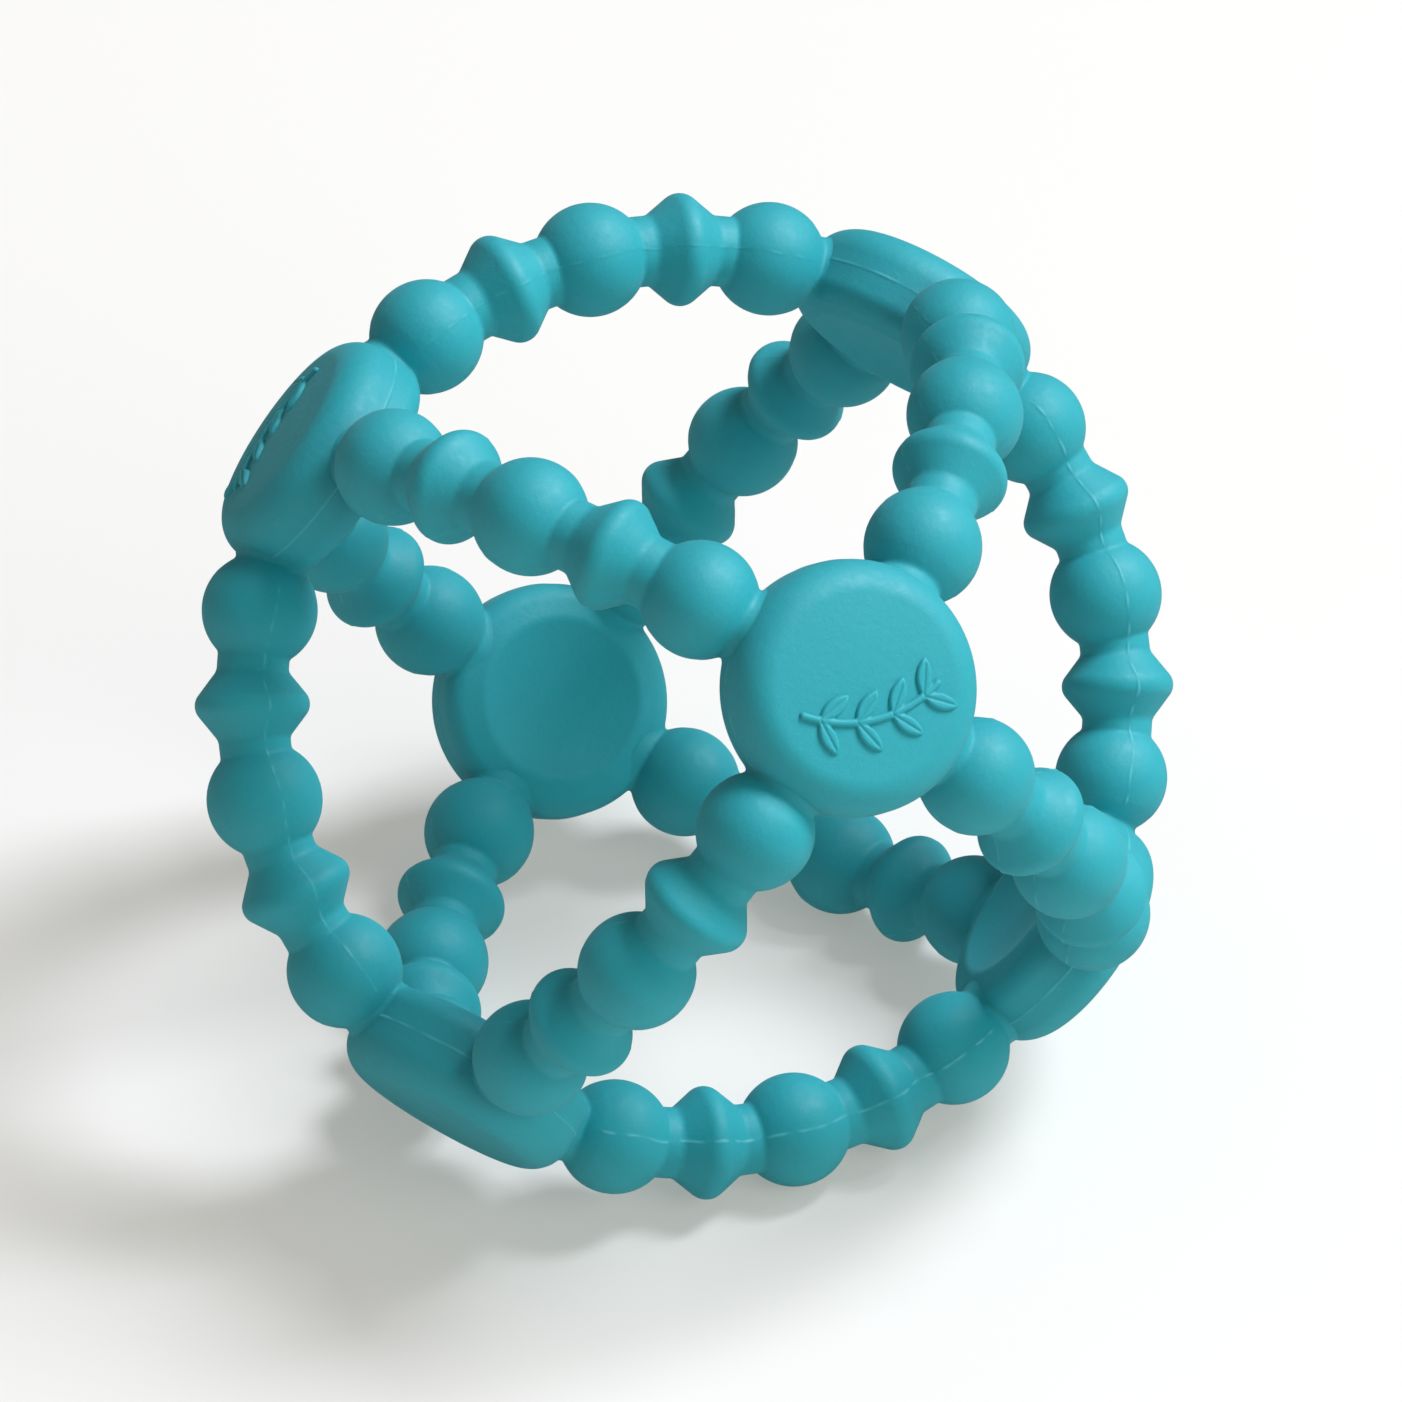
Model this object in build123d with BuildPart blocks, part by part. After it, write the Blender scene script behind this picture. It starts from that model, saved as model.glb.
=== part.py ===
"""Teething ball: six round pads joined by twelve beaded strands, moulded in silicone.

The pads sit on the three axes of an octahedron, and each strand is a quarter of a great
circle less its two pads. The ball stands on the middle beads of its three lowest strands,
with one of its eight triangular windows flat on the ground. It is soft enough to sag a
little under its own weight, so its heights about the centre are all shortened by one share.

Frame: millimetres, +Z up, origin on the ground under the ball's centre. The upper front
pad leans towards -Y.
"""

import os
from math import asin, cos, degrees, radians, sin, sqrt

from build123d import *

# Driving dimensions
BALL_WIDTH = 100.0  # across two opposite middle beads, before it sags
SAG = 0.963  # height that is left of the free ball's, as it stands
BEAD_RADIUS = 5.55
CONE_RADIUS = 5.95  # where a double cone's two flanks would meet
CONE_HALF_WIDTH = 3.2  # from its middle to where a flank reaches the neck
CONE_RIM_ROUND = 1.65
NECK_RADIUS = 3.45
BEAD_PITCH = 12 / 90  # share of the way from pad to pad between one bead and the next

PAD_RADIUS = 11.95
PAD_OUT = 4.35  # from the strands' centre line out to the pad's outer face
PAD_IN = 4.9  # from the strands' centre line in to the rim of the inner face
PAD_OUTER_ROUND = 3.2
PAD_INNER_ROUND = 3.6
DISH_RADIUS = 8.0
DISH_DEPTH = 1.4
DISH_LIP_ROUND = 2.0

RELIEF_HEIGHT = 0.4  # of the raised sprig above the pad's outer face
STEM_RADIUS = 13.0  # of the sprig's curved stem
STEM_SWEEP = 63.0  # degrees
STEM_WIDTH = 0.7
STEM_DROP = 3.2  # from the pad's middle down to the middle of the stem
LEAF_LENGTH = 3.7
LEAF_WIDTH = 1.6
LEAF_ANGLE = 50.0  # degrees between a leaf and the stem
LEAF_PAIRS = 4

# Worked out from them
RING_RADIUS = BALL_WIDTH / 2 - BEAD_RADIUS  # centre line of every strand on the free ball
LEAN = sqrt(2 / 3)  # horizontal share of a pad's direction on the free ball
RISE = sqrt(1 / 3)  # vertical share of it
CENTRE = Vector(0, 0, RING_RADIUS * LEAN * SAG + BEAD_RADIUS)
BOWL_RADIUS = (DISH_RADIUS**2 + DISH_DEPTH**2) / (2 * DISH_DEPTH)
# Where a double cone's flank would reach the centre line, from its middle
CONE_TIP = CONE_HALF_WIDTH * CONE_RADIUS / (CONE_RADIUS - NECK_RADIUS)


def pad_direction(azimuth, level):
    """Unit vector from the free ball's centre to a pad. Level is 1 for an upper pad."""
    angle = radians(azimuth)
    return Vector(LEAN * cos(angle), LEAN * sin(angle), RISE * level)


PADS = {
    "upper_front": pad_direction(-90, 1),
    "upper_right": pad_direction(30, 1),
    "upper_left": pad_direction(150, 1),
    "lower_rear": pad_direction(90, -1),
    "lower_left": pad_direction(-150, -1),
    "lower_right": pad_direction(-30, -1),
}
STRANDS = {
    "upper_front_right": ("upper_front", "upper_right"),
    "upper_front_left": ("upper_front", "upper_left"),
    "upper_rear": ("upper_right", "upper_left"),
    "side_front_right": ("upper_front", "lower_right"),
    "side_front_left": ("upper_front", "lower_left"),
    "side_right": ("upper_right", "lower_right"),
    "side_left": ("upper_left", "lower_left"),
    "side_rear_right": ("upper_right", "lower_rear"),
    "side_rear_left": ("upper_left", "lower_rear"),
    "lower_front": ("lower_left", "lower_right"),
    "lower_rear_right": ("lower_rear", "lower_right"),
    "lower_rear_left": ("lower_rear", "lower_left"),
}
SPRIG_TURNS = {"upper_front": 0, "upper_left": -57}  # degrees each sprig is turned in its pad's face


def sagged(direction):
    """Where a point of the strands' centre lines comes to lie, from the ball's centre."""
    return Vector(direction.X, direction.Y, direction.Z * SAG) * RING_RADIUS


def pad_plane(name, height=0.0):
    """Plane across a pad, a height above the strands' centre line.

    Z is out of the ball, X is level and Y is up the slope.
    """
    free = PADS[name]
    out = Vector(free.X, free.Y, free.Z / SAG).normalized()
    origin = CENTRE + sagged(free) + out * height
    return Plane(origin=origin, x_dir=Vector(0, 0, 1).cross(out), z_dir=out)


def make_pad(name):
    """A round pad: flat outside, broadly rounded at both edges, and dished inside."""
    across = pad_plane(name)
    section = Plane(origin=across.origin, x_dir=across.x_dir, z_dir=-across.y_dir)
    dish_angle = degrees(asin(DISH_RADIUS / BOWL_RADIUS))
    dish_top = DISH_DEPTH - PAD_IN
    with BuildPart() as pad:
        with BuildSketch(section) as profile:
            with BuildLine():
                dish = CenterArc((0, dish_top - BOWL_RADIUS), BOWL_RADIUS, 90 - dish_angle, dish_angle)
                Polyline(dish @ 0, (PAD_RADIUS, -PAD_IN), (PAD_RADIUS, PAD_OUT), (0, PAD_OUT), dish @ 1)
            make_face()
            outer_corner = profile.vertices().group_by(Axis.Y)[-1].sort_by(Axis.X)[-1]
            fillet(outer_corner, PAD_OUTER_ROUND)
            inner_corner = profile.vertices().group_by(Axis.Y)[0].sort_by(Axis.X)[-1]
            fillet(inner_corner, PAD_INNER_ROUND)
            dish_lip = profile.vertices().group_by(Axis.Y)[0].sort_by(Axis.X)[0]
            fillet(dish_lip, DISH_LIP_ROUND)
        revolve(axis=Axis(across.origin, across.z_dir))
    return pad


def strand_ring(name):
    """The circle through a strand's two pads and its middle: plane, radius and angle.

    The plane's X is along the strand at its middle, and its Y is out of the ball there.
    """
    first, last = (PADS[pad] for pad in STRANDS[name])
    middle = sagged((first + last).normalized())
    chord = sagged(last) - sagged(first)
    half_chord = chord.length / 2
    height = middle.length - ((sagged(first) + sagged(last)) / 2).length
    radius = (half_chord**2 + height**2) / (2 * height)
    out = middle.normalized()
    along = chord.normalized()
    plane = Plane(origin=CENTRE + middle - out * radius, x_dir=along, z_dir=along.cross(out))
    return plane, radius, 2 * degrees(asin(half_chord / radius))


def place_on_ring(plane, radius, angle):
    """Plane at a point of the ring: X along the strand, Z square to the ring."""
    turn = radians(angle)
    out = plane.x_dir * sin(turn) + plane.y_dir * cos(turn)
    along = plane.x_dir * cos(turn) - plane.y_dir * sin(turn)
    return Plane(origin=plane.origin + out * radius, x_dir=along, z_dir=plane.z_dir)


def make_strand(name, pads):
    """Three round beads and two double cones on a curved neck, cut to sit against its two pads."""
    plane, radius, sweep = strand_ring(name)
    pitch = sweep * BEAD_PITCH
    end_bead = place_on_ring(plane, radius, 2 * pitch)
    with BuildPart() as strand:
        with BuildSketch(Plane(origin=end_bead.origin, z_dir=end_bead.x_dir)):
            Circle(NECK_RADIUS)
        revolve(axis=Axis(plane.origin, plane.z_dir), revolution_arc=4 * pitch)
        for step in (-1, 1):
            cone = place_on_ring(plane, radius, step * pitch)
            with BuildSketch(cone) as flanks:
                with BuildLine():
                    Polyline((-CONE_TIP, 0), (0, CONE_RADIUS), (CONE_TIP, 0), close=True)
                make_face()
                fillet(flanks.vertices().sort_by(Axis.Y)[-1], CONE_RIM_ROUND)
            revolve(axis=Axis(cone.origin, cone.x_dir))
        for step in (-2, 0, 2):
            bead = place_on_ring(plane, radius, step * pitch)
            with Locations(Plane(origin=bead.origin, z_dir=bead.x_dir)):
                Sphere(BEAD_RADIUS)
        for pad in STRANDS[name]:
            add(pads[pad].part, mode=Mode.SUBTRACT)
    return strand


def make_relief(name):
    """A raised leaf sprig on a pad's outer face, to one side of its middle."""
    face = pad_plane(name, PAD_OUT)
    turned = radians(SPRIG_TURNS[name])
    along = face.x_dir * cos(turned) + face.y_dir * sin(turned)
    with BuildPart() as relief:
        with BuildSketch(Plane(origin=face.origin, x_dir=along, z_dir=face.z_dir)):
            bend = Location((0, STEM_RADIUS - STEM_DROP))
            with BuildLine():
                CenterArc(bend.position, STEM_RADIUS, -90 - STEM_SWEEP / 2, STEM_SWEEP)
            trace(line_width=STEM_WIDTH)
            for pair in range(LEAF_PAIRS):
                turn = -90 + STEM_SWEEP * ((pair + 0.45) / LEAF_PAIRS - 0.5)
                joint = bend * Location((0, 0, 0), (0, 0, turn)) * Location((STEM_RADIUS, 0))
                for side in (-1, 1):
                    swing = Location((0, 0, 0), (0, 0, 90 + side * LEAF_ANGLE))
                    with Locations(joint * swing * Location((LEAF_LENGTH / 2, 0))):
                        Ellipse(LEAF_LENGTH / 2, LEAF_WIDTH / 2)
        extrude(amount=RELIEF_HEIGHT)
    return relief


def save(piece, label):
    """Writes one node's STEP file."""
    piece.part.label = label
    export_step(piece.part, f"parts/{label}.step")
    print(label, len(piece.part.solids()), round(piece.part.volume), piece.part.is_valid)


os.makedirs("parts", exist_ok=True)
all_pads = {name: make_pad(name) for name in PADS}
for pad_name, pad_part in all_pads.items():
    save(pad_part, f"pad_{pad_name}")
for strand_name in STRANDS:
    save(make_strand(strand_name, all_pads), f"strand_{strand_name}")
for pad_name in SPRIG_TURNS:
    save(make_relief(pad_name), f"relief_{pad_name}")
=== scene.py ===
"""The looks of the teething ball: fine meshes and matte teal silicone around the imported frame.

Shapes are worked out in millimetres and turned to metres as their meshes are made.
"""

import bpy
import numpy as np
from mathutils import Matrix, Vector


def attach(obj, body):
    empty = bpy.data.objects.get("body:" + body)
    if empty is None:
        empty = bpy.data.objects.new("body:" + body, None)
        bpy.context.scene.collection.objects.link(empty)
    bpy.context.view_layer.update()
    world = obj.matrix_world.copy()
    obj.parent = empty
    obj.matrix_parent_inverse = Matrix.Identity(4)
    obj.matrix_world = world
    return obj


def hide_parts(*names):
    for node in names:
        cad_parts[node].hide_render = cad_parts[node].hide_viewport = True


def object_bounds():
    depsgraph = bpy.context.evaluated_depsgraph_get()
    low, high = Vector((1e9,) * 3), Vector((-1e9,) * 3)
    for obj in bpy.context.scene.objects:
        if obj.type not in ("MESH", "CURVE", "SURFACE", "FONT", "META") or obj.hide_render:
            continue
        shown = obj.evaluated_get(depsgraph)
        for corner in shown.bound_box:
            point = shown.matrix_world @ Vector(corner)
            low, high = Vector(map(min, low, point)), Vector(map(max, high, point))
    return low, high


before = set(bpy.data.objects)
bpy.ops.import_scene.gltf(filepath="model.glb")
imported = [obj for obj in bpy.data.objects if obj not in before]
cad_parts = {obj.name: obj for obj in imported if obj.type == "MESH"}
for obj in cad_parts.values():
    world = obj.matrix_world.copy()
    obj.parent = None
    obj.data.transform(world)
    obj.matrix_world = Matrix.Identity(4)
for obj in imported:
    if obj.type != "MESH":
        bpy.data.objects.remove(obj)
cad_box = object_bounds()

MM = 0.001

# The ball, as it stands. Its overall sizes come from the frame.
BALL_WIDTH = (cad_box[1][0] - cad_box[0][0]) / MM
BALL_HEIGHT = (cad_box[1][2] - cad_box[0][2]) / MM
BEAD_RADIUS = 5.55
CONE_RADIUS = 5.95  # where a double cone's flanks would meet
CONE_SLOPE = 0.78
CONE_RIM_ROUND = 1.65
NECK_RADIUS = 3.45
BEAD_PITCH = 12 / 90  # share of the way from pad to pad
RING_RADIUS = BALL_WIDTH / 2 - BEAD_RADIUS
LEAN = np.sqrt(2 / 3)
RISE = np.sqrt(1 / 3)
SAG = (BALL_HEIGHT / 2 - BEAD_RADIUS) / (RING_RADIUS * LEAN)
CENTRE = np.array([0.0, 0.0, BALL_HEIGHT / 2])

# Pads: heights are above the strands' centre line
PAD_RADIUS = 12.0
PAD_OUT = 4.2  # at the edge of the outer face, before its round
PAD_IN = 4.9
PAD_CROWN = 0.65
PAD_SEAM_HEIGHT = -0.4
PAD_DRAFT = 0.045  # slope of the wall away from the seam
PAD_OUTER_ROUND = 3.2
PAD_INNER_ROUND = 2.3
PAD_RIM_SLOPE = 0.24
DISH_RADIUS = 8.3
DISH_DEPTH = 1.4
DISH_LIP_ROUND = 1.6

# Moulding marks
NECK_BLEND = 0.25
PAD_BLEND = 0.65
SEAM_HEIGHT = 0.045
SEAM_WIDTH = 0.13
SEAM_STEP = 0.03

UPPER = 1
LOWER = -1
PADS = {
    "upper_front": (-90, UPPER),
    "upper_right": (30, UPPER),
    "upper_left": (150, UPPER),
    "lower_rear": (90, LOWER),
    "lower_left": (-150, LOWER),
    "lower_right": (-30, LOWER),
}
STRANDS = {
    "upper_front_right": ("upper_front", "upper_right"),
    "upper_front_left": ("upper_front", "upper_left"),
    "upper_rear": ("upper_right", "upper_left"),
    "side_front_right": ("upper_front", "lower_right"),
    "side_front_left": ("upper_front", "lower_left"),
    "side_right": ("upper_right", "lower_right"),
    "side_left": ("upper_left", "lower_left"),
    "side_rear_right": ("upper_right", "lower_rear"),
    "side_rear_left": ("upper_left", "lower_rear"),
    "lower_front": ("lower_left", "lower_right"),
    "lower_rear_right": ("lower_rear", "lower_right"),
    "lower_rear_left": ("lower_rear", "lower_left"),
}
SPRIG_TURNS = {"upper_front": 0.0, "upper_left": -57.0}  # degrees each sprig is turned in its pad's face


def unit(vectors):
    """The vectors, each at length 1."""
    return vectors / np.linalg.norm(vectors, axis=-1, keepdims=True)


def free_direction(pad):
    """Unit vector from the free ball's centre to a pad."""
    azimuth, level = PADS[pad]
    angle = np.radians(azimuth)
    return np.array([LEAN * np.cos(angle), LEAN * np.sin(angle), RISE * level])


def sagged(direction):
    """Where the point of the strands' centre lines in this direction lies, from the ball's centre."""
    return direction * np.array([1, 1, SAG]) * RING_RADIUS


def pad_axes(pad):
    """A pad's place on the strands' centre lines, and its X (level), Y (up the slope) and Z (out)."""
    free = free_direction(pad)
    out = unit(free / np.array([1, 1, SAG]))
    across = unit(np.cross([0, 0, 1], out))
    return CENTRE + sagged(free), np.array([across, np.cross(out, across), out])


def strand_ring(strand):
    """A strand's ring: its centre, axes, radius and half sweep.

    X is along the strand at its middle, Y is out of the ball and Z is square to both.
    """
    first, last = (free_direction(pad) for pad in STRANDS[strand])
    middle = sagged(unit(first + last))
    chord = sagged(last) - sagged(first)
    half_chord = np.linalg.norm(chord) / 2
    height = np.linalg.norm(middle) - np.linalg.norm(sagged(first) + sagged(last)) / 2
    radius = (half_chord**2 + height**2) / (2 * height)
    out = unit(middle)
    along = unit(chord)
    axes = np.array([along, out, np.cross(along, out)])
    return CENTRE + middle - out * radius, axes, radius, np.arcsin(half_chord / radius)


# Distances to the moulding's surface, in millimetres, negative inside


def smooth_union(first, second, blend):
    """The nearer of two distances, with a soft fillet where they are alike."""
    share = np.maximum(blend - np.abs(first - second), 0) / blend
    return np.minimum(first, second) - share**2 * blend / 4


def double_cone_distance(along, radial):
    """Distance to two cones set base to base, with a rounded rim."""
    flank = np.hypot(1, CONE_SLOPE)
    rim = CONE_RADIUS - CONE_RIM_ROUND * flank
    x = np.abs(along)
    y = radial - rim
    on_flank = (CONE_SLOPE * x + y) / flank
    before_rim = (x - CONE_SLOPE * y) < 0
    return np.where(before_rim, np.hypot(x, y), on_flank) - CONE_RIM_ROUND


def strand_distance(points, radius, pitch):
    """Distance to a strand's beads, double cones and neck, in its ring's own axes."""
    from_line = np.hypot(points[..., 0], points[..., 1]) - radius
    distance = np.hypot(from_line, points[..., 2]) - NECK_RADIUS
    for step in (-2, -1, 0, 1, 2):
        turn = step * pitch
        out = np.array([np.sin(turn), np.cos(turn), 0])
        along = np.array([np.cos(turn), -np.sin(turn), 0])
        offset = points - out * radius
        if step % 2:
            x = offset @ along
            radial = np.sqrt(np.maximum((offset**2).sum(-1) - x**2, 0))
            part = double_cone_distance(x, radial)
        else:
            part = np.linalg.norm(offset, axis=-1) - BEAD_RADIUS
        distance = smooth_union(distance, part, NECK_BLEND)
    return distance


def arc(centre, radius, start, end, count):
    """Points of an arc in the plane of a profile, angles in degrees."""
    angles = np.radians(np.linspace(start, end, count))
    return np.stack([centre[0] + radius * np.cos(angles), centre[1] + radius * np.sin(angles)], 1)


def fillet_corner(before, corner, after, radius, count):
    """The arc that rounds a corner of a profile, from the first side to the second."""
    first = unit(before - corner)
    second = unit(after - corner)
    half = np.arccos(np.clip(first @ second, -1, 1)) / 2
    centre = corner + unit(first + second) * radius / np.sin(half)
    start = corner + first * radius / np.tan(half) - centre
    end = corner + second * radius / np.tan(half) - centre
    share = np.linspace(0, 1, count)[:, None]
    turn = np.arccos(np.clip(unit(start) @ unit(end), -1, 1))
    return centre + (np.sin((1 - share) * turn) * start + np.sin(share * turn) * end) / np.sin(turn)


def crown(radial):
    """How far a pad's outer face swells out, at a distance from its middle."""
    return PAD_CROWN * np.maximum(1 - (radial / PAD_RADIUS) ** 2, 0)


def pad_outline():
    """A pad's profile (radius, height) from the middle of its outer face round to the middle of its dish."""
    seam = np.array([PAD_RADIUS, PAD_SEAM_HEIGHT])
    top_edge = np.array([PAD_RADIUS - PAD_DRAFT * (PAD_OUT - PAD_SEAM_HEIGHT), PAD_OUT])
    rim_height = -PAD_IN + PAD_RIM_SLOPE * (PAD_RADIUS - DISH_RADIUS)
    bottom_edge = np.array([PAD_RADIUS + PAD_DRAFT * (rim_height - PAD_SEAM_HEIGHT), rim_height])
    lip = np.array([DISH_RADIUS, -PAD_IN])
    bowl_radius = (DISH_RADIUS**2 + DISH_DEPTH**2) / (2 * DISH_DEPTH)
    bowl_centre = np.array([0, DISH_DEPTH - PAD_IN - bowl_radius])
    lip_angle = np.degrees(np.arccos(DISH_RADIUS / bowl_radius))
    bowl = arc(bowl_centre, bowl_radius, lip_angle, 90, 60)
    face_middle = np.array([0, PAD_OUT])
    top_round = fillet_corner(face_middle, top_edge, seam, PAD_OUTER_ROUND, 26)
    face = face_middle + (top_round[0] - face_middle) * np.linspace(0, 1, 40)[:, None]
    bottom_round = fillet_corner(seam, bottom_edge, lip, PAD_INNER_ROUND, 22)
    lip_round = fillet_corner(bottom_edge, lip, bowl[3], DISH_LIP_ROUND, 14)
    outer_wall = np.linspace(top_round[-1], seam, 24)[1:-1]
    inner_wall = np.linspace(seam, bottom_round[0], 18)[:-1]
    rim = np.linspace(bottom_round[-1], lip_round[0], 8)[1:-1]
    least_gap = 0.05
    bowl = bowl[bowl[:, 0] < lip_round[-1, 0] - least_gap]
    wall = (top_round, outer_wall, inner_wall, bottom_round)
    outline = np.concatenate([face[:-1], *wall, rim, lip_round, bowl])
    outline[:, 1] += crown(outline[:, 0]) * np.clip(outline[:, 1], 0, 1)
    return outline


OUTLINE = pad_outline()


def outline_distance(radial, height):
    """Distance to the pad's profile, from its nearest stretch."""
    tie = 1e-9
    flat = np.stack([radial, height], -1)
    best = np.full(radial.shape, np.inf)
    side = np.ones(radial.shape)
    for start, end in zip(OUTLINE[:-1], OUTLINE[1:]):
        run = end - start
        offset = flat - start
        share = np.clip(offset @ run / (run @ run), 0, 1)
        gap = offset - share[..., None] * run
        distance = np.linalg.norm(gap, axis=-1)
        nearer = distance < best - tie
        turn = run[0] * offset[..., 1] - run[1] * offset[..., 0]
        side = np.where(nearer, np.where(turn > 0, 1.0, -1.0), side)
        best = np.where(nearer, distance, best)
    return best * side


TABLE_STEP = 0.05
TABLE_RADII = np.arange(4.0, 19.0, TABLE_STEP)
TABLE_HEIGHTS = np.arange(-9.0, 9.0, TABLE_STEP)
TABLE = outline_distance(*np.meshgrid(TABLE_RADII, TABLE_HEIGHTS, indexing="ij"))


def pad_distance(points, place, axes):
    """Distance to a pad's surface, read from the table of its profile."""
    local = (points - place) @ axes.T
    column = (np.hypot(local[..., 0], local[..., 1]) - TABLE_RADII[0]) / TABLE_STEP
    row = (local[..., 2] - TABLE_HEIGHTS[0]) / TABLE_STEP
    column = np.clip(column, 0, len(TABLE_RADII) - 1.001)
    row = np.clip(row, 0, len(TABLE_HEIGHTS) - 1.001)
    i = column.astype(int)
    j = row.astype(int)
    u = column - i
    v = row - j
    near = TABLE[i, j] * (1 - v) + TABLE[i, j + 1] * v
    far = TABLE[i + 1, j] * (1 - v) + TABLE[i + 1, j + 1] * v
    return near * (1 - u) + far * u


def gradient(distance, points):
    """Direction in which a distance grows, by small differences."""
    step = 0.02
    changes = [distance(points + step * axis) - distance(points - step * axis) for axis in np.eye(3)]
    return np.stack(changes, -1) / (2 * step)


def settle(distance, points):
    """Moves points along the gradient until they lie on a surface."""
    least_slope = 0.05
    for _ in range(5):
        slope = gradient(distance, points)
        steepness = np.maximum((slope**2).sum(-1), least_slope)
        points = points - slope * (distance(points) / steepness)[..., None]
    return points


def last_inside(low, high, is_inside, halvings):
    """Halves ranges again and again, down to the last values that are inside."""
    for _ in range(halvings):
        middle = (low + high) / 2
        inside = is_inside(middle)
        low = np.where(inside, middle, low)
        high = np.where(inside, high, middle)
    return low


# Meshes


def add_mesh(name, points, faces, seam=None):
    """A smooth-shaded mesh object from points in millimetres. Seam is how much of a point is parting line."""
    mesh = bpy.data.meshes.new(name)
    mesh.from_pydata((np.asarray(points) * MM).tolist(), [], faces)
    mesh.polygons.foreach_set("use_smooth", [True] * len(mesh.polygons))
    layer = mesh.attributes.new("seam", "FLOAT", "POINT")
    layer.data.foreach_set("value", np.zeros(len(points)) if seam is None else np.asarray(seam, float))
    mesh.update()
    piece = bpy.data.objects.new(name, mesh)
    bpy.context.scene.collection.objects.link(piece)
    return piece


def grid_faces(rows, columns):
    """Faces of a tube of points, each row a closed ring."""
    faces = []
    for row in range(rows - 1):
        here = row * columns
        there = here + columns
        for column in range(columns):
            after = (column + 1) % columns
            faces.append((here + column, here + after, there + after, there + column))
    return faces


def fan_faces(first, columns, tip, flip):
    """Triangles that close a ring of points with one point at its middle."""
    faces = []
    for column in range(columns):
        after = (column + 1) % columns
        ring = (first + column, first + after)
        faces.append((ring[1], ring[0], tip) if flip else (ring[0], ring[1], tip))
    return faces


def wander(length, seed, shortest=3.0):
    """A gentle random curve over a length in millimetres, about 0, with swings of about 1."""
    waves = 9
    random = np.random.default_rng(seed)
    numbers = random.uniform(0.3, 1.0, waves) * 2 * np.pi / shortest
    phases = random.uniform(0, 2 * np.pi, waves)
    return np.sin(np.outer(length, numbers) + phases).sum(1) / np.sqrt(waves / 2)


SEAM_STRENGTH = {
    "upper_rear": 0.45,
    "side_left": 0.7,
    "side_right": 1.1,
    "lower_front": 1.3,
    "side_front_right": 1.0,
}
OTHER_SEAM_STRENGTH = 0.6
STRAND_DRIFT = 0.07  # how far a strand's parting line strays to each side
PAD_DRIFT = 0.06
NUB_STRENGTH = 0.6  # extra flash on the rim of a double cone
NUB_WIDTH = 0.45
STRAND_STEP_SHARPNESS = 14
PAD_STEP_SHARPNESS = 6
SEAM_ANGLES = (0.0, 0.8, 1.6, 2.5, 3.6, 5.2, 8.0, 12.0)  # degrees from a strand's parting line
OTHER_ANGLES = np.arange(17.0, 88.5, 4.9)


def strand_columns():
    """Angles round a strand, from straight out of the ball, closer together by its parting lines."""
    quarter = [*SEAM_ANGLES, *OTHER_ANGLES]
    angles = []
    for seam in (90, -90):
        angles += [seam + q for q in quarter] + [seam - q for q in quarter[1:]]
    angles += [0.0, 180.0]
    return np.radians(np.sort(np.mod(np.array(angles) + 180, 360) - 180))


def strand_turns(radius, pitch):
    """Angles of the rings along a strand, closer together at its corners and double cones."""
    half = pitch * radius
    bead_edge = np.sqrt(BEAD_RADIUS**2 - NECK_RADIUS**2)
    cone_edge = half - (CONE_RADIUS - NECK_RADIUS) / CONE_SLOPE
    bead_stops = (bead_edge - 0.5, bead_edge + 0.5)
    cone_stops = (cone_edge - 0.35, cone_edge + 0.35)
    stops = (0, *bead_stops, *cone_stops, half - 1.5, half)
    steps = (0.27, 0.07, 0.2, 0.1, 0.22, 0.15)
    places = [0.0]
    for start, end, step in zip(stops[:-1], stops[1:], steps):
        count = int(np.ceil((end - start) / step))
        places += list(np.linspace(start, end, count + 1)[1:])
    to_cone = np.array(places) / radius
    to_bead = 2 * pitch - to_cone[::-1]
    one_side = np.concatenate([to_cone, to_bead[1:]])
    return np.concatenate([-one_side[:0:-1], one_side])


def build_strand(strand, seed):
    """One strand, with its parting lines, flared softly onto its two pads and closed inside them."""
    centre, axes, radius, half_sweep = strand_ring(strand)
    pitch = 2 * half_sweep * BEAD_PITCH
    pads = []
    for pad in STRANDS[strand]:
        place, pad_frame = pad_axes(pad)
        pads.append(((place - centre) @ axes.T, pad_frame @ axes.T))
    columns = strand_columns()
    turns = strand_turns(radius, pitch)

    def bare(points):
        return strand_distance(points, radius, pitch)

    first_end = end_rings(-1, pads[0], columns, radius, pitch, bare)[::-1]
    last_end = end_rings(1, pads[1], columns, radius, pitch, bare)
    rings = np.concatenate([first_end, open_rings(turns, columns, radius, bare), last_end])
    fade = end_fade(len(last_end))
    fade = np.concatenate([fade[::-1], np.ones(len(turns)), fade])
    nub = np.exp(-(((np.abs(turns) - pitch) * radius / NUB_WIDTH) ** 2))
    nub = np.concatenate([np.zeros(len(first_end)), nub, np.zeros(len(last_end))])
    strength = SEAM_STRENGTH.get(strand, OTHER_SEAM_STRENGTH)
    points, seam = add_parting_lines(rings, columns, nub, fade, strength, seed)

    count = len(columns)
    total = len(rings) * count
    faces = grid_faces(len(rings), count)
    faces += fan_faces(0, count, total, True)
    faces += fan_faces(total - count, count, total + 1, False)
    points = np.concatenate([points.reshape(-1, 3), [rings[0].mean(0), rings[-1].mean(0)]])
    seam = np.concatenate([seam.ravel(), [0, 0]])
    return add_mesh("silicone_strand_" + strand, points @ axes + centre, faces, seam)


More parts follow.
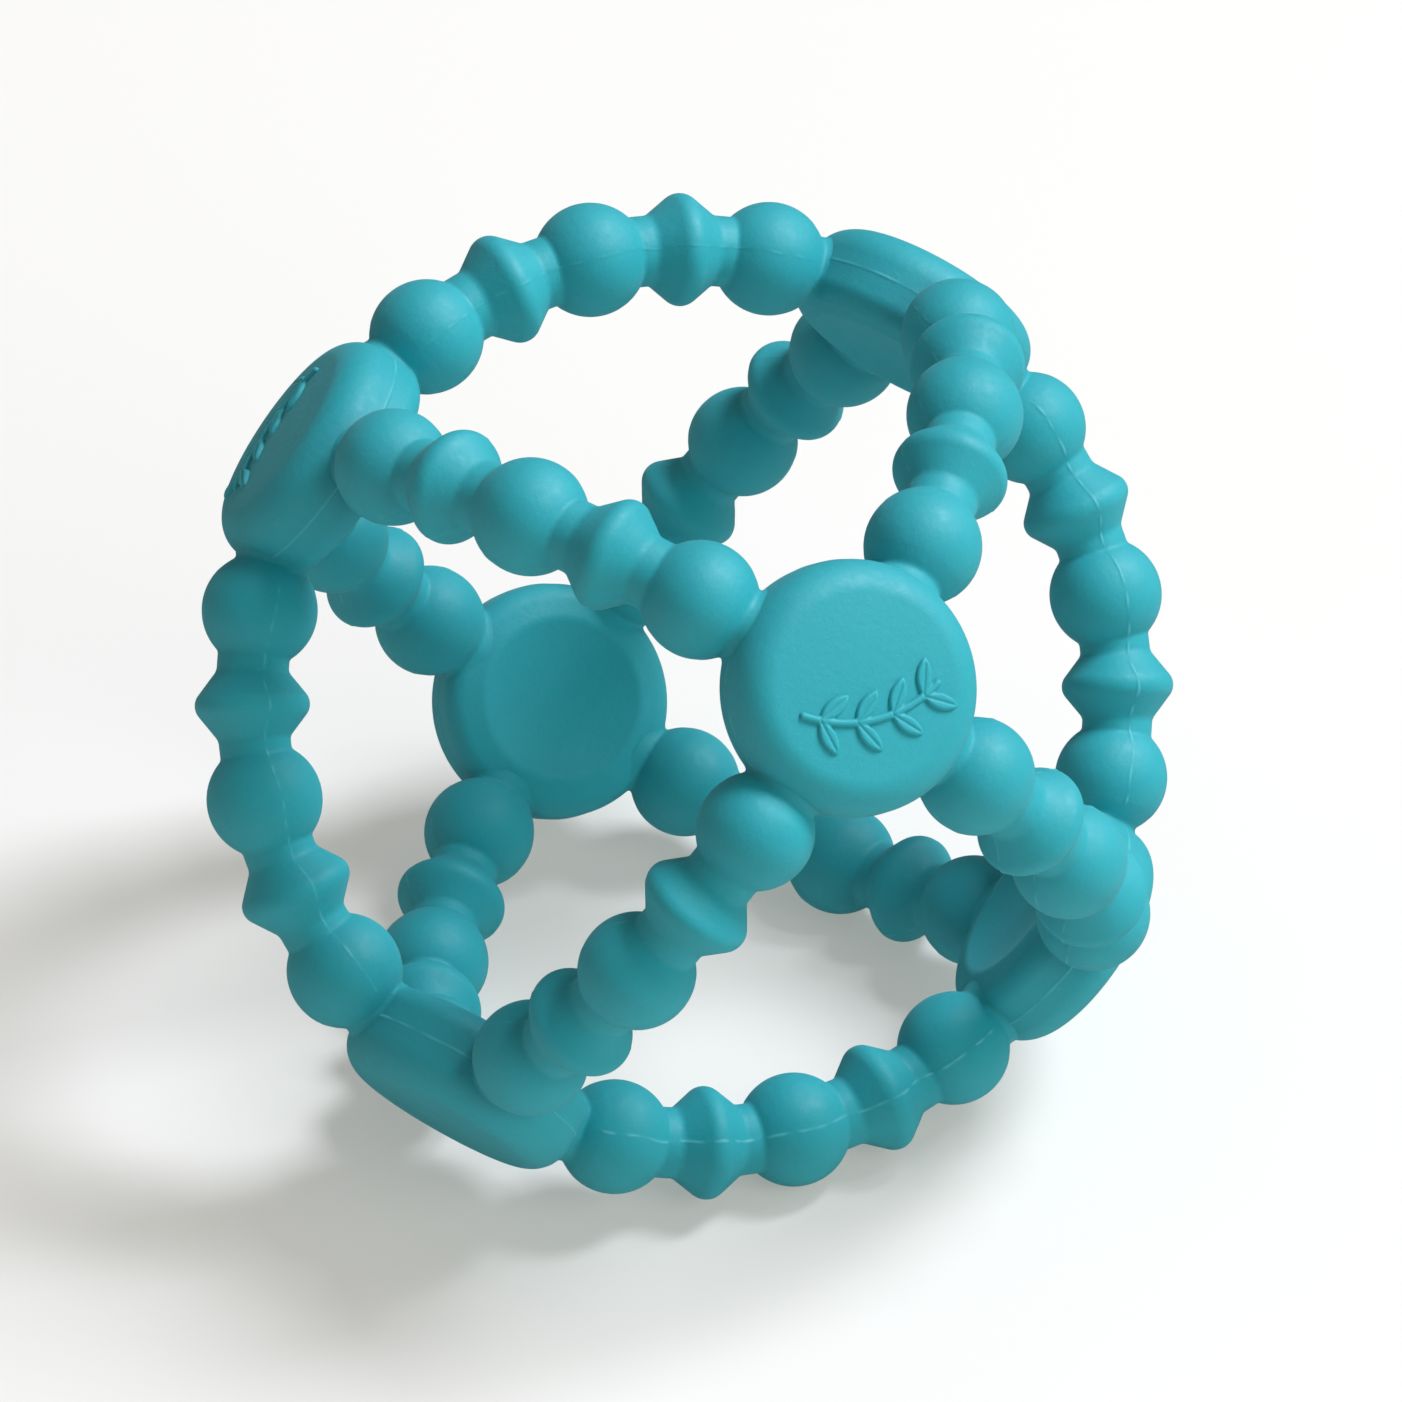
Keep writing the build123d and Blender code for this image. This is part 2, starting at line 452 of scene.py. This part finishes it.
def open_rings(turns, columns, radius, bare):
    """Rings square to a strand's centre line, from end bead to end bead."""
    outs = np.stack([np.sin(turns), np.cos(turns), np.zeros_like(turns)], 1)
    rays = outs[:, None, :] * np.cos(columns)[None, :, None]
    rays = rays + np.array([0, 0, 1]) * np.sin(columns)[None, :, None]
    starts = outs[:, None, :] * radius
    least = np.full(rays.shape[:2], 2.5)
    most = np.full(rays.shape[:2], 6.5)
    reach = last_inside(least, most, lambda middle: bare(starts + rays * middle[..., None]) < 0, 18)
    return starts + rays * reach[..., None]


def add_parting_lines(rings, columns, nub, fade, strand_strength, seed):
    """Raises a fine flash along each side, and sets one half a touch proud of the other.

    Gives back the moved points, and how much of each is parting line.
    """
    lengths = np.concatenate([[0], np.cumsum(np.linalg.norm(np.diff(rings[:, 0], axis=0), axis=1))])
    girth = np.linalg.norm(rings - rings.mean(1)[:, None, :], axis=2)
    normals = ring_normals(rings)
    points = rings.copy()
    seam = np.zeros(rings.shape[:2])
    for side in (1, -1):
        away = np.angle(np.exp(1j * (columns - side * np.pi / 2)))[None, :] * girth
        drift = STRAND_DRIFT * wander(lengths, seed * 10 + side + 3, shortest=4.0)[:, None]
        strength = np.clip(0.7 + 0.55 * wander(lengths, seed * 10 + side + 5, shortest=1.6), 0.1, 1.7)
        strength = (strength + NUB_STRENGTH * nub) * fade * strand_strength
        flash = np.exp(-(((away - drift) / SEAM_WIDTH) ** 2)) * strength[:, None]
        points += normals * (SEAM_HEIGHT * flash)[..., None]
        seam += flash
    outer_half = np.tanh(np.cos(columns) * STRAND_STEP_SHARPNESS)[None, :] * fade[:, None]
    points += normals * (SEAM_STEP * outer_half)[..., None]
    return points, seam


FAN_ROWS = 22
FLARE_ROWS = 22
FADE_ROWS = 4
FLARE_REACH = 1.4  # from the crease, over the bead and over the pad
FLARE_SINK = 0.08  # how deep the flare's edge goes under the pad's surface
TUCK_DEPTHS = (0.1, 0.5, 1.4)
TUCK_SHRINKS = (0.0, 0.25, 0.55)


def end_fade(rows):
    """How much of the parting line is left on each ring of an end."""
    fade = np.ones(rows)
    faded = FAN_ROWS - FADE_ROWS
    fade[faded:] = 0
    fade[faded - FADE_ROWS : faded] = np.linspace(1, 0, FADE_ROWS)
    return fade


def end_rings(side, pad, columns, radius, pitch, bare):
    """Rings from an end bead's middle, over the bead, along the pad and down into it."""
    turn = side * 2 * pitch
    out = np.array([np.sin(turn), np.cos(turn), 0])
    along = side * np.array([np.cos(turn), -np.sin(turn), 0])
    bead = out * radius
    round_bead = out * np.cos(columns)[:, None] + np.array([0, 0, 1]) * np.sin(columns)[:, None]

    def on_bead(angle):
        angle = np.broadcast_to(angle, columns.shape)[:, None]
        return bead + BEAD_RADIUS * (along * np.sin(angle) + round_bead * np.cos(angle))

    def pad_only(points):
        return pad_distance(points, *pad)

    def joined(points):
        return smooth_union(bare(points), pad_only(points), PAD_BLEND)

    quarter_turn = np.full(len(columns), np.pi / 2)
    crease_angle = last_inside(quarter_turn * 0, quarter_turn, lambda angle: pad_only(on_bead(angle)) > 0, 22)
    crease = on_bead(crease_angle)
    bead_normal = unit(crease - bead)
    pad_normal = unit(gradient(pad_only, crease))
    slide = unit(bead_normal - (bead_normal * pad_normal).sum(1, keepdims=True) * pad_normal)

    back_off = FLARE_REACH / BEAD_RADIUS
    fan_shares = np.linspace(0, 1, FAN_ROWS + 1)[1:]
    flare_shares = np.linspace(0, 1, FLARE_ROWS // 2 + 1)[1:]
    fan = [on_bead(share * (crease_angle - back_off)) for share in fan_shares]
    guesses = [on_bead(crease_angle - back_off * (1 - share)) for share in flare_shares]
    guesses += [crease + slide * FLARE_REACH * share for share in flare_shares]
    flare = settle(joined, np.array(guesses))
    into_pad = unit(gradient(pad_only, flare))
    sink_start = 0.3
    share = np.clip((np.linspace(-1, 1, FLARE_ROWS) - sink_start) / (1 - sink_start), 0, 1)
    flare -= into_pad * (FLARE_SINK * share**2 * (3 - 2 * share))[:, None, None]
    core = bead + along * (BEAD_RADIUS * 1.15)
    tuck = []
    for depth, shrink in zip(TUCK_DEPTHS, TUCK_SHRINKS):
        sunk = flare[-1] - into_pad[-1] * depth
        tuck.append(sunk + (core - sunk) * shrink)
    return np.concatenate([np.array(fan), flare, np.array(tuck)])


def ring_normals(rings):
    """Outward unit normals of a tube of points."""
    round_way = np.roll(rings, -1, 1) - np.roll(rings, 1, 1)
    long_way = np.gradient(rings, axis=0)
    normals = np.cross(long_way, round_way)
    outward = ((rings - rings.mean(1, keepdims=True)) * normals).sum(-1).mean()
    nudge = 1e-12
    return unit(normals + nudge) * (1 if outward > 0 else -1)


PAD_COLUMNS = 220
FINE_REACH = 0.6  # of the closer rings to each side of a pad's parting line


def build_pad(pad, seed):
    """One pad, turned from its profile, with a parting line round its wall."""
    place, axes = pad_axes(pad)
    run = np.concatenate([[0], np.cumsum(np.linalg.norm(np.diff(OUTLINE, axis=0), axis=1))])
    seam_at = run[np.argmin(np.hypot(OUTLINE[:, 0] - PAD_RADIUS, OUTLINE[:, 1] - PAD_SEAM_HEIGHT))]
    fine = np.linspace(seam_at - FINE_REACH, seam_at + FINE_REACH, 21)
    coarse = run[np.abs(run - seam_at) > FINE_REACH + 0.05]
    run_all = np.unique(np.concatenate([coarse, fine]))
    profile = np.stack([np.interp(run_all, run, OUTLINE[:, axis]) for axis in (0, 1)], 1)
    slope = np.gradient(profile, axis=0)
    normal = unit(np.stack([-slope[:, 1], slope[:, 0]], 1))
    angles = np.linspace(0, 2 * np.pi, PAD_COLUMNS, endpoint=False)
    way_round = angles * PAD_RADIUS
    closing = 0.5 - 0.5 * np.cos(angles)
    strength = np.clip(0.8 + 0.5 * wander(way_round, seed) * closing, 0.2, 1.6)
    drift = PAD_DRIFT * wander(way_round, seed + 50, shortest=9.0) * closing
    off_line = run_all[:, None] - seam_at - drift[None, :]
    flash = np.exp(-((off_line / SEAM_WIDTH) ** 2)) * strength[None, :]
    proud = (np.tanh((seam_at - run_all) * PAD_STEP_SHARPNESS)[:, None] - 1) * SEAM_STEP / 2
    lift = SEAM_HEIGHT * flash + proud
    radial = profile[:, None, 0] + lift * normal[:, None, 0]
    height = profile[:, None, 1] + lift * normal[:, None, 1]
    ring = np.stack([radial * np.cos(angles), radial * np.sin(angles), height], -1)
    rings = ring[1:-1]
    points = np.concatenate([rings.reshape(-1, 3), ring[0, :1], ring[-1, :1]])
    points[-2:, :2] = 0
    total = rings.shape[0] * PAD_COLUMNS
    faces = grid_faces(rings.shape[0], PAD_COLUMNS)
    faces += fan_faces(0, PAD_COLUMNS, total, True)
    faces += fan_faces(total - PAD_COLUMNS, PAD_COLUMNS, total + 1, False)
    faces = [face[::-1] for face in faces]  # the rings run the other way from a strand's
    seam = np.concatenate([flash[1:-1].ravel(), [0, 0]])
    return add_mesh("silicone_pad_" + pad, points @ axes + place, faces, seam)


RELIEF_HEIGHT = 0.4
RELIEF_ROUND = 0.3
RELIEF_DEPTH = 0.4  # of the shell's floor below the pad's face
SKIRT = 0.1  # how far the shell goes on past the sprig's outline
SKIRT_SLOPE = 1.2
RIB_WIDTH = 0.13
RIB_DEPTH = 0.12
LEAF_BLEND = 0.25
STEM_RADIUS = 13.0
STEM_SWEEP = 63.0
STEM_WIDTH = 0.7
STEM_DROP = 3.2
LEAF_LENGTH = 3.7
LEAF_WIDTH = 1.6
LEAF_ANGLE = 50.0
LEAF_PAIRS = 4
RELIEF_STEP = 0.08


def sprig_distance(x, y):
    """Distance to a leaf sprig's outline, negative inside, and how much of a point is leaf rib."""
    bend = STEM_RADIUS - STEM_DROP
    angle = np.clip(np.degrees(np.arctan2(y - bend, x)), -90 - STEM_SWEEP / 2, -90 + STEM_SWEEP / 2)
    nearest = np.radians(angle)
    stem_x = STEM_RADIUS * np.cos(nearest)
    stem_y = bend + STEM_RADIUS * np.sin(nearest)
    distance = np.hypot(x - stem_x, y - stem_y) - STEM_WIDTH / 2
    rib = np.zeros_like(x)
    side_radius = (LEAF_LENGTH**2 + LEAF_WIDTH**2) / (4 * LEAF_WIDTH)
    for pair in range(LEAF_PAIRS):
        turn = -90 + STEM_SWEEP * ((pair + 0.45) / LEAF_PAIRS - 0.5)
        joint = np.array([np.cos(np.radians(turn)), np.sin(np.radians(turn))]) * STEM_RADIUS + [0, bend]
        for side in (-1, 1):
            way = np.radians(turn + 90 + side * LEAF_ANGLE)
            along = (x - joint[0]) * np.cos(way) + (y - joint[1]) * np.sin(way) - LEAF_LENGTH / 2
            across = (y - joint[1]) * np.cos(way) - (x - joint[0]) * np.sin(way)
            leaf = np.hypot(along, np.abs(across) + side_radius - LEAF_WIDTH / 2) - side_radius
            rib = np.maximum(rib, np.exp(-((across / RIB_WIDTH) ** 2)) * (leaf < 0))
            distance = smooth_union(distance, leaf, LEAF_BLEND)
    return distance, rib


def build_relief(pad):
    """A raised leaf sprig on a pad's face: a closed, rounded shell set a little into the pad."""
    place, axes = pad_axes(pad)
    x, y = np.meshgrid(np.arange(-8.5, 8.5, RELIEF_STEP), np.arange(-8.0, 3.5, RELIEF_STEP), indexing="ij")
    distance, rib = sprig_distance(x, y)
    rise = np.clip(-distance / RELIEF_ROUND, 0, 1)
    height = RELIEF_HEIGHT * np.sqrt(1 - (1 - rise) ** 2) - RIB_DEPTH * rib
    height = height - SKIRT_SLOPE * np.maximum(distance, 0)
    face = PAD_OUT + crown(np.hypot(x, y))
    kept = distance < SKIRT
    cells = kept[:-1, :-1] & kept[1:, :-1] & kept[1:, 1:] & kept[:-1, 1:]
    number = np.full(x.shape, -1)
    rows, columns = np.nonzero(cells)
    used = np.zeros(x.shape, bool)
    for row_step in (0, 1):
        for column_step in (0, 1):
            used[rows + row_step, columns + column_step] = True
    number[used] = np.arange(used.sum())
    top = np.stack([x[used], y[used], (face + height)[used]], 1)
    bottom = np.stack([x[used], y[used], face[used] - RELIEF_DEPTH], 1)
    steps = ((0, 0), (1, 0), (1, 1), (0, 1))
    corners = np.stack([number[rows + row_step, columns + column_step] for row_step, column_step in steps], 1)
    faces = [tuple(face_corners) for face_corners in corners.tolist()]
    edges = [edge for ring in faces for edge in zip(ring, ring[1:] + ring[:1])]
    known = set(edges)
    offset = len(top)
    walls = [(b, a, a + offset, b + offset) for a, b in edges if (b, a) not in known]
    floor_faces = [(d + offset, c + offset, b + offset, a + offset) for a, b, c, d in faces]
    turn = np.radians(SPRIG_TURNS[pad])
    turned_x = axes[0] * np.cos(turn) + axes[1] * np.sin(turn)
    turned_y = axes[1] * np.cos(turn) - axes[0] * np.sin(turn)
    points = np.concatenate([top, bottom]) @ np.array([turned_x, turned_y, axes[2]]) + place
    return add_mesh("raised_sprig_" + pad, points, faces + floor_faces + walls)


# Materials


class Nodes:
    """A material's node tree, with short calls to add nodes and join them."""

    def __init__(self, name):
        self.material = bpy.data.materials.new(name)
        self.material.use_nodes = True
        self.tree = self.material.node_tree
        self.shader = self.tree.nodes["Principled BSDF"]

    def add(self, kind, links=None, **settings):
        """Adds a node, sets its properties, and links or sets its inputs."""
        node = self.tree.nodes.new(kind)
        for key, value in settings.items():
            setattr(node, key, value)
        for socket, value in (links or {}).items():
            if isinstance(value, bpy.types.NodeSocket):
                self.tree.links.new(value, node.inputs[socket])
            else:
                node.inputs[socket].default_value = value
        return node

    def link(self, output, socket):
        """Links an output to one of the shader's inputs."""
        self.tree.links.new(output, self.shader.inputs[socket])

    def noise(self, scale, detail, roughness=0.5):
        """Noise of a size in the object's own space."""
        place = self.add("ShaderNodeTexCoord").outputs["Object"]
        links = {"Vector": place, "Scale": scale, "Detail": detail, "Roughness": roughness}
        return self.add("ShaderNodeTexNoise", links).outputs["Fac"]

    def spread(self, value, low, high, to_low, to_high):
        """Maps a value from one range to another."""
        links = {"Value": value, "From Min": low, "From Max": high, "To Min": to_low, "To Max": to_high}
        return self.add("ShaderNodeMapRange", links).outputs["Result"]

    def mix(self, share, first, second):
        """Mixes two colours."""
        return self.add("ShaderNodeMix", {0: share, 6: first, 7: second}, data_type="RGBA").outputs[2]


SILICONE_COLOUR = (0.001, 0.335, 0.390, 1.0)
SILICONE_LIGHT = (0.014, 0.392, 0.450, 1.0)
# Parting line colour: partly pale flash, partly a painted highlight where the raised line catches light
SILICONE_FLASH_AND_HIGHLIGHT = (0.10, 0.52, 0.58, 1.0)
FLOOR_GLOW = 0.28
FLOOR_GLOW_COLOUR = (1.0, 0.945, 0.875, 1.0)

# Noise scales: waves in a metre
CLOUD_SCALE = 55.0
SPECK_SCALE = 2600.0
SHINE_SCALE = 900.0
GRAIN_SCALE = 3800.0
PIT_SCALE = 1300.0
GRAIN_HEIGHT = 0.04 * MM


def silicone_material():
    """Matte teal silicone: faint sheen, light below the surface, fine grain, and a paler parting line that is
    partly pale flash and partly a painted highlight.
    """
    nodes = Nodes("teal_silicone")
    cloud = nodes.spread(nodes.noise(CLOUD_SCALE, 2.0), 0.3, 0.7, 0.0, 0.55)
    speck = nodes.spread(nodes.noise(SPECK_SCALE, 2.0, 0.6), 0.56, 0.74, 0.0, 0.35)
    colour = nodes.mix(cloud, SILICONE_COLOUR, SILICONE_LIGHT)
    colour = nodes.mix(speck, colour, SILICONE_LIGHT)
    seam = nodes.add("ShaderNodeAttribute", attribute_name="seam").outputs["Fac"]
    # Painted highlight: the parting line is made paler, partly as pale flash and partly for the light its
    # ridge catches
    colour = nodes.mix(nodes.spread(seam, 0.15, 1.3, 0.0, 0.6), colour, SILICONE_FLASH_AND_HIGHLIGHT)
    nodes.link(colour, "Base Color")
    nodes.link(nodes.spread(nodes.noise(SHINE_SCALE, 3.0), 0.3, 0.7, 0.58, 0.70), "Roughness")
    shader = nodes.shader.inputs
    shader["IOR"].default_value = 1.5
    shader["Specular IOR Level"].default_value = 0.9
    shader["Specular Tint"].default_value = (0.85, 0.98, 1.0, 1.0)
    shader["Subsurface Weight"].default_value = 0.2
    shader["Subsurface Radius"].default_value = (0.35, 0.9, 1.0)
    shader["Subsurface Scale"].default_value = 0.0016
    shader["Sheen Weight"].default_value = 0.07
    shader["Sheen Roughness"].default_value = 0.6
    shader["Sheen Tint"].default_value = (0.75, 0.97, 1.0, 1.0)
    grain = nodes.noise(GRAIN_SCALE, 3.0, 0.6)
    pits = nodes.spread(nodes.noise(PIT_SCALE, 2.0), 0.2, 0.8, 0.0, 1.0)
    height = nodes.add("ShaderNodeMath", {0: grain, 1: pits}, operation="ADD").outputs[0]
    bump = nodes.add("ShaderNodeBump", {"Strength": 0.5, "Distance": GRAIN_HEIGHT, "Height": height})
    nodes.link(bump.outputs["Normal"], "Normal")
    return nodes.material


def floor_material():
    """A pale matte sheet that glows a little, as if lit from below."""
    nodes = Nodes("pale_floor")
    tone = nodes.spread(nodes.noise(4.0, 2.0), 0.3, 0.7, 0.585, 0.595)
    warm = nodes.add("ShaderNodeMath", {0: tone, 1: 0.975}, operation="MULTIPLY").outputs[0]
    nodes.link(nodes.add("ShaderNodeCombineColor", {0: tone, 1: tone, 2: warm}).outputs[0], "Base Color")
    shader = nodes.shader.inputs
    shader["Roughness"].default_value = 0.9
    shader["Specular IOR Level"].default_value = 0.1
    shader["Emission Color"].default_value = FLOOR_GLOW_COLOUR
    shader["Emission Strength"].default_value = FLOOR_GLOW
    return nodes.material


# The studio

CAMERA_AZIMUTH = -23.80
CAMERA_ELEVATION = 35.57
CAMERA_ROLL = 0.64
CAMERA_DISTANCE = 877.9
CAMERA_ASIDE = (0.867, -0.556)  # right of the ball's centre, and above it
LENS = 232.1
SENSOR = 36.0
# Lights: direction from the ball (right, away, up, as the camera looks), distance, size, power, colour
KEY_LIGHT = ((1.0, 0.27, 1.50), 3.0, 1.1, 91.0, (0.97, 1.0, 1.08))
FILL_LIGHT = ((0.75, -0.7, 0.55), 2.0, 1.3, 13.0, (1.0, 0.99, 0.97))
WORLD_COLOUR = (1.0, 0.975, 0.94, 1.0)
WORLD_LIGHT = 0.30
FLOOR_HALF = 3000.0


def camera_axes():
    """The camera's right, up and back before its roll, as unit vectors."""
    azimuth, elevation = np.radians([CAMERA_AZIMUTH, CAMERA_ELEVATION])
    right = np.array([np.cos(azimuth), np.sin(azimuth), 0])
    level_back = np.array([np.sin(azimuth), -np.cos(azimuth), 0])
    back = level_back * np.cos(elevation) + np.array([0, 0, np.sin(elevation)])
    return right, np.cross(back, right), back


def matrix_of(axes, place):
    """The matrix of an object with these axes at this place, in millimetres."""
    matrix = Matrix([list(axis) for axis in axes]).transposed().to_4x4()
    matrix.translation = Vector(list(place * MM))
    return matrix


def add_camera():
    """The camera, at the photograph's viewing angle."""
    right, up, back = camera_axes()
    roll = np.radians(CAMERA_ROLL)
    rolled_right = right * np.cos(roll) + up * np.sin(roll)
    rolled_up = up * np.cos(roll) - right * np.sin(roll)
    aside = rolled_right * CAMERA_ASIDE[0] + rolled_up * CAMERA_ASIDE[1]
    place = CENTRE + back * CAMERA_DISTANCE + aside
    camera = bpy.data.objects.new("camera", bpy.data.cameras.new("camera"))
    camera.data.lens = LENS
    camera.data.sensor_width = SENSOR
    camera.data.clip_start = 0.01
    camera.matrix_world = matrix_of((rolled_right, rolled_up, back), place)
    bpy.context.scene.collection.objects.link(camera)
    bpy.context.scene.camera = camera


def add_soft_light(name, direction, distance, size, power, colour):
    """A large square light that faces the ball's middle."""
    right, _, back = camera_axes()
    away = unit(-back * np.array([1, 1, 0]))
    to_light = unit(np.array(direction) @ np.array([right, away, [0, 0, 1]]))
    light = bpy.data.objects.new(name, bpy.data.lights.new(name, "AREA"))
    light.data.size = size
    light.data.energy = power
    light.data.color = colour
    light.location = Vector(list(CENTRE * MM + to_light * distance))
    light.rotation_euler = Vector(list(to_light)).to_track_quat("Z", "Y").to_euler()
    bpy.context.scene.collection.objects.link(light)
    return light


def add_lights():
    """A soft light from the right and behind, a weaker one from the front, and a pale studio."""
    add_soft_light("key_light", *KEY_LIGHT)
    fill = add_soft_light("fill_light", *FILL_LIGHT)
    fill.visible_glossy = False
    world = bpy.data.worlds.new("studio")
    world.use_nodes = True
    background = world.node_tree.nodes["Background"]
    background.inputs["Color"].default_value = WORLD_COLOUR
    background.inputs["Strength"].default_value = WORLD_LIGHT
    world.cycles_visibility.glossy = False
    bpy.context.scene.world = world


def add_floor(material):
    """A wide, flat floor under the ball."""
    corners = [(x * FLOOR_HALF, y * FLOOR_HALF, 0) for x, y in ((-1, -1), (1, -1), (1, 1), (-1, 1))]
    floor = add_mesh("floor", corners, [(0, 1, 2, 3)])
    floor.data.materials.append(material)
    floor.visible_glossy = False


def place_piece(piece, node):
    """Gives a piece its material, and its place in the frame."""
    piece.data.materials.append(silicone)
    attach(piece, "root")
    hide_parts(node)


add_camera()
add_lights()
add_floor(floor_material())
bpy.context.scene.view_settings.view_transform = "Standard"
silicone = silicone_material()
for number, strand_name in enumerate(STRANDS):
    place_piece(build_strand(strand_name, number), "strand_" + strand_name)
for number, pad_name in enumerate(PADS):
    place_piece(build_pad(pad_name, number), "pad_" + pad_name)
for pad_name in SPRIG_TURNS:
    place_piece(build_relief(pad_name), "relief_" + pad_name)
